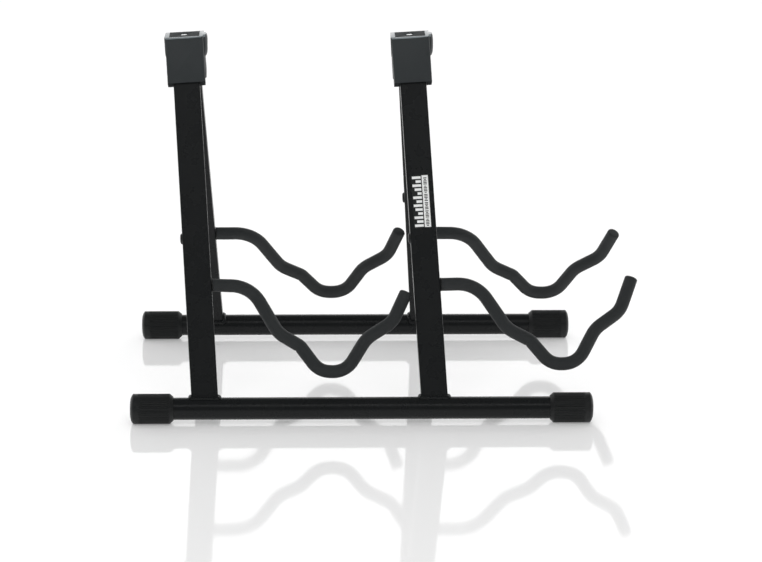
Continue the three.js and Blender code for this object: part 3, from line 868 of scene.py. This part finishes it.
def cap_finish(face, centre, outwards):
    """Index of a face's finish: matte knuckle top, polished ear tops and rim painted pale as a reflection,
    dull lower edge painted darker as shade.
    """
    plain, matte, shiny_painted_reflection, dull = range(len(CAP_FINISHES))
    upwards = face.normal.dot(TOP_NORMAL)
    rise = above_hinge(face.center, centre)
    spot = (face.center - centre) / MM
    # Downward faces low on the cap take the darker copy: painted shade.
    if upwards < -0.7 and rise < CAP_LOWER_EDGE:
        return dull
    if rise < TOP_RISE - TOP_ROUND or upwards < 0.6:
        return plain
    on_knuckle = abs(spot.x) < KNUCKLE_WIDTH / 2 + 0.2 and spot.dot(outwards) < RIM_REACH
    # Ear tops and rim off the knuckle take the paler copy: painted reflection.
    return matte if on_knuckle else shiny_painted_reflection


def hinges():
    for place_name in PLACES:
        for side in SIDES:
            hinge_cap(side, place_name)
        softened(f"{place_name}_hinge_pin", "bright_steel", PIN_EDGE)
        softened(f"{place_name}_pin_lock_screw", "bright_steel", LOCK_SCREW_EDGE)


# ---------------------------------------------------------------- label

def box_faces(verts, faces, x, y, z):
    """Adds a plain block to the lists."""
    first = len(verts)
    verts += [Vector((x[i], y[j], z[k])) for k in (0, 1) for j in (0, 1) for i in (0, 1)]
    quads = ((0, 2, 3, 1), (4, 5, 7, 6), (0, 1, 5, 4), (2, 6, 7, 3), (0, 4, 6, 2), (1, 3, 7, 5))
    faces += [tuple(first + i for i in quad) for quad in quads]


def proud_of_leg(depths):
    """Places across the leg that stand out from its outer face by these depths."""
    return [-LEG_THICKNESS / 2 - depth for depth in depths]


def label():
    """A dark film with plain printed bars and a pale strip of small ticks, in place of any mark."""
    bottom = -LABEL_HEIGHT / 2
    plate = rounded_outline(LABEL_WIDTH, LABEL_HEIGHT, LABEL_CORNER, 4)
    verts = [Vector((p.x, y, p.y)) for y in proud_of_leg(FILM_DEPTHS) for p in plate]
    count = len(plate)
    faces = [tuple(range(count)), tuple(reversed(range(count, 2 * count)))]
    for i in range(count):
        j = (i + 1) % count
        faces.append((i, i + count, j + count, j))
    film_faces = len(faces)
    printed = proud_of_leg(PRINT_DEPTHS)
    box_faces(verts, faces, STRIP_SPAN, printed, (bottom + LABEL_MARGIN, -bottom - LABEL_MARGIN))
    for i, length in enumerate(BAR_LENGTHS):
        low = BAR_START + bottom + i * BAR_PITCH
        box_faces(verts, faces, (BAR_END - length, BAR_END), printed, (low, low + BAR_HEIGHT))
    pale_faces = len(faces)
    tick = TICK_START + bottom
    middle = sum(STRIP_SPAN) / 2
    for i in range(TICK_COUNT):
        half = TICK_HALF if i % 4 else SHORT_TICK_HALF
        span = (middle - half, middle + half)
        box_faces(verts, faces, span, proud_of_leg(TICK_DEPTHS), (tick, tick + TICK_HEIGHT))
        tick += TICK_GROUP_PITCH if i % 5 == 4 else TICK_PITCH
    verts = onto(leg_matrix("front") @ Matrix.Translation((0, 0, LABEL_CENTRE)), verts)
    piece = place("front_leg_label", "near", verts, flipped(faces), "label_film")
    piece.data.materials.append(MATERIALS["label_print"])
    for face in piece.data.polygons:
        face.material_index = 1 if film_faces <= face.index < pale_faces else 0


# ---------------------------------------------------------------- stage

def smooth_step(tree, value, low, high, to_low, to_high):
    return remap(tree, value, low, high, to_low, to_high, "SMOOTHSTEP")


def combine(tree, operation, first, second):
    node = tree.nodes.new("ShaderNodeMath")
    node.operation = operation
    tree.links.new(first, node.inputs[0])
    tree.links.new(second, node.inputs[1])
    return node.outputs["Value"]


def studio_floor():
    """A glossy pale floor, lit through from below as a light table is."""
    material, _, shader, _ = new_material("studio_floor")
    shader.inputs["Base Color"].default_value = (0.93, 0.93, 0.93, 1)
    shader.inputs["Roughness"].default_value = 0.06
    shader.inputs["Emission Color"].default_value = (1, 1, 1, 1)
    shader.inputs["Emission Strength"].default_value = FLOOR_GLOW
    bpy.ops.mesh.primitive_plane_add(size=60, location=(0, 0, 0))
    floor = bpy.context.object
    floor.name = "studio_floor"
    floor.data.materials.append(material)


def studio_room():
    """A bright low backdrop behind the rack, a strip light high on the camera's side, and a dim room."""
    world = bpy.data.worlds.new("studio")
    bpy.context.scene.world = world
    world.use_nodes = True
    tree = world.node_tree
    split = tree.nodes.new("ShaderNodeSeparateXYZ")
    tree.links.new(tree.nodes.new("ShaderNodeTexCoord").outputs["Generated"], split.inputs["Vector"])
    behind = smooth_step(tree, split.outputs["Y"], 0.0, 0.3, 0.0, 1.0)
    low = smooth_step(tree, split.outputs["Z"], BACKDROP_TOP, BACKDROP_TOP + 0.2, 1.0, 0.0)
    backdrop = combine(tree, "MULTIPLY", behind, low)
    backdrop = smooth_step(tree, backdrop, 0.0, 1.0, ROOM_LIGHT, BACKDROP_LIGHT)
    ahead = smooth_step(tree, split.outputs["Y"], -0.3, -0.1, 1.0, 0.0)
    above = smooth_step(tree, split.outputs["Z"], STRIP_LOW, STRIP_LOW + 0.04, 0.0, 1.0)
    below = smooth_step(tree, split.outputs["Z"], STRIP_HIGH, STRIP_HIGH + 0.04, 1.0, 0.0)
    strip = combine(tree, "MULTIPLY", combine(tree, "MULTIPLY", above, below), ahead)
    strip = smooth_step(tree, strip, 0.0, 1.0, 0.0, STRIP_LIGHT)
    background = tree.nodes["Background"]
    background.inputs["Color"].default_value = (1, 1, 1, 1)
    tree.links.new(combine(tree, "ADD", backdrop, strip), background.inputs["Strength"])


def softbox(name, place_at, aim, size, power):
    """A large soft light that brightens surfaces without being mirrored in them."""
    light = bpy.data.lights.new(name, "AREA")
    light.shape = "RECTANGLE"
    light.size, light.size_y = size
    light.energy = power
    lamp = bpy.data.objects.new(name, light)
    lamp.location = place_at
    lamp.rotation_euler = (Vector(aim) - Vector(place_at)).to_track_quat("-Z", "Y").to_euler()
    lamp.visible_glossy = False
    bpy.context.scene.collection.objects.link(lamp)


def studio():
    studio_floor()
    studio_room()
    softbox("overhead_softbox", OVERHEAD_SPOT, (0, 0, 0), OVERHEAD_SIZE, OVERHEAD_POWER)
    softbox("front_softbox", FRONT_SPOT, FRONT_AIM, FRONT_SIZE, FRONT_POWER)
    bpy.context.scene.view_settings.view_transform = "Standard"


def camera():
    """The photograph's viewpoint: from 4 m away on the near side, looking down at about 14 degrees."""
    data = bpy.data.cameras.new("camera")
    data.lens = CAMERA_LENS
    data.sensor_width = 36
    data.clip_end = 200
    eye = bpy.data.objects.new("camera", data)
    bpy.context.scene.collection.objects.link(eye)
    turn = Matrix.Rotation(-CAMERA_YAW, 4, "Z")
    tilt = Matrix.Rotation(math.pi / 2 - CAMERA_PITCH, 4, "X")
    roll = Matrix.Rotation(CAMERA_ROLL, 4, "Z")
    eye.matrix_world = Matrix.Translation(CAMERA_SPOT) @ turn @ tilt @ roll
    bpy.context.scene.camera = eye


# ---------------------------------------------------------------- assembly

for side in SIDES:
    foot_tube(side)
    for place_name in PLACES:
        foot_cap(side, place_name)
        leg(side, place_name)
        weld_bead(side, place_name)
        arm_rod(side, place_name)
        foam_sleeve(side, place_name)
        arm_washer(side, place_name)
        arm_screw(side, place_name)
hinges()
label()
studio()
camera()
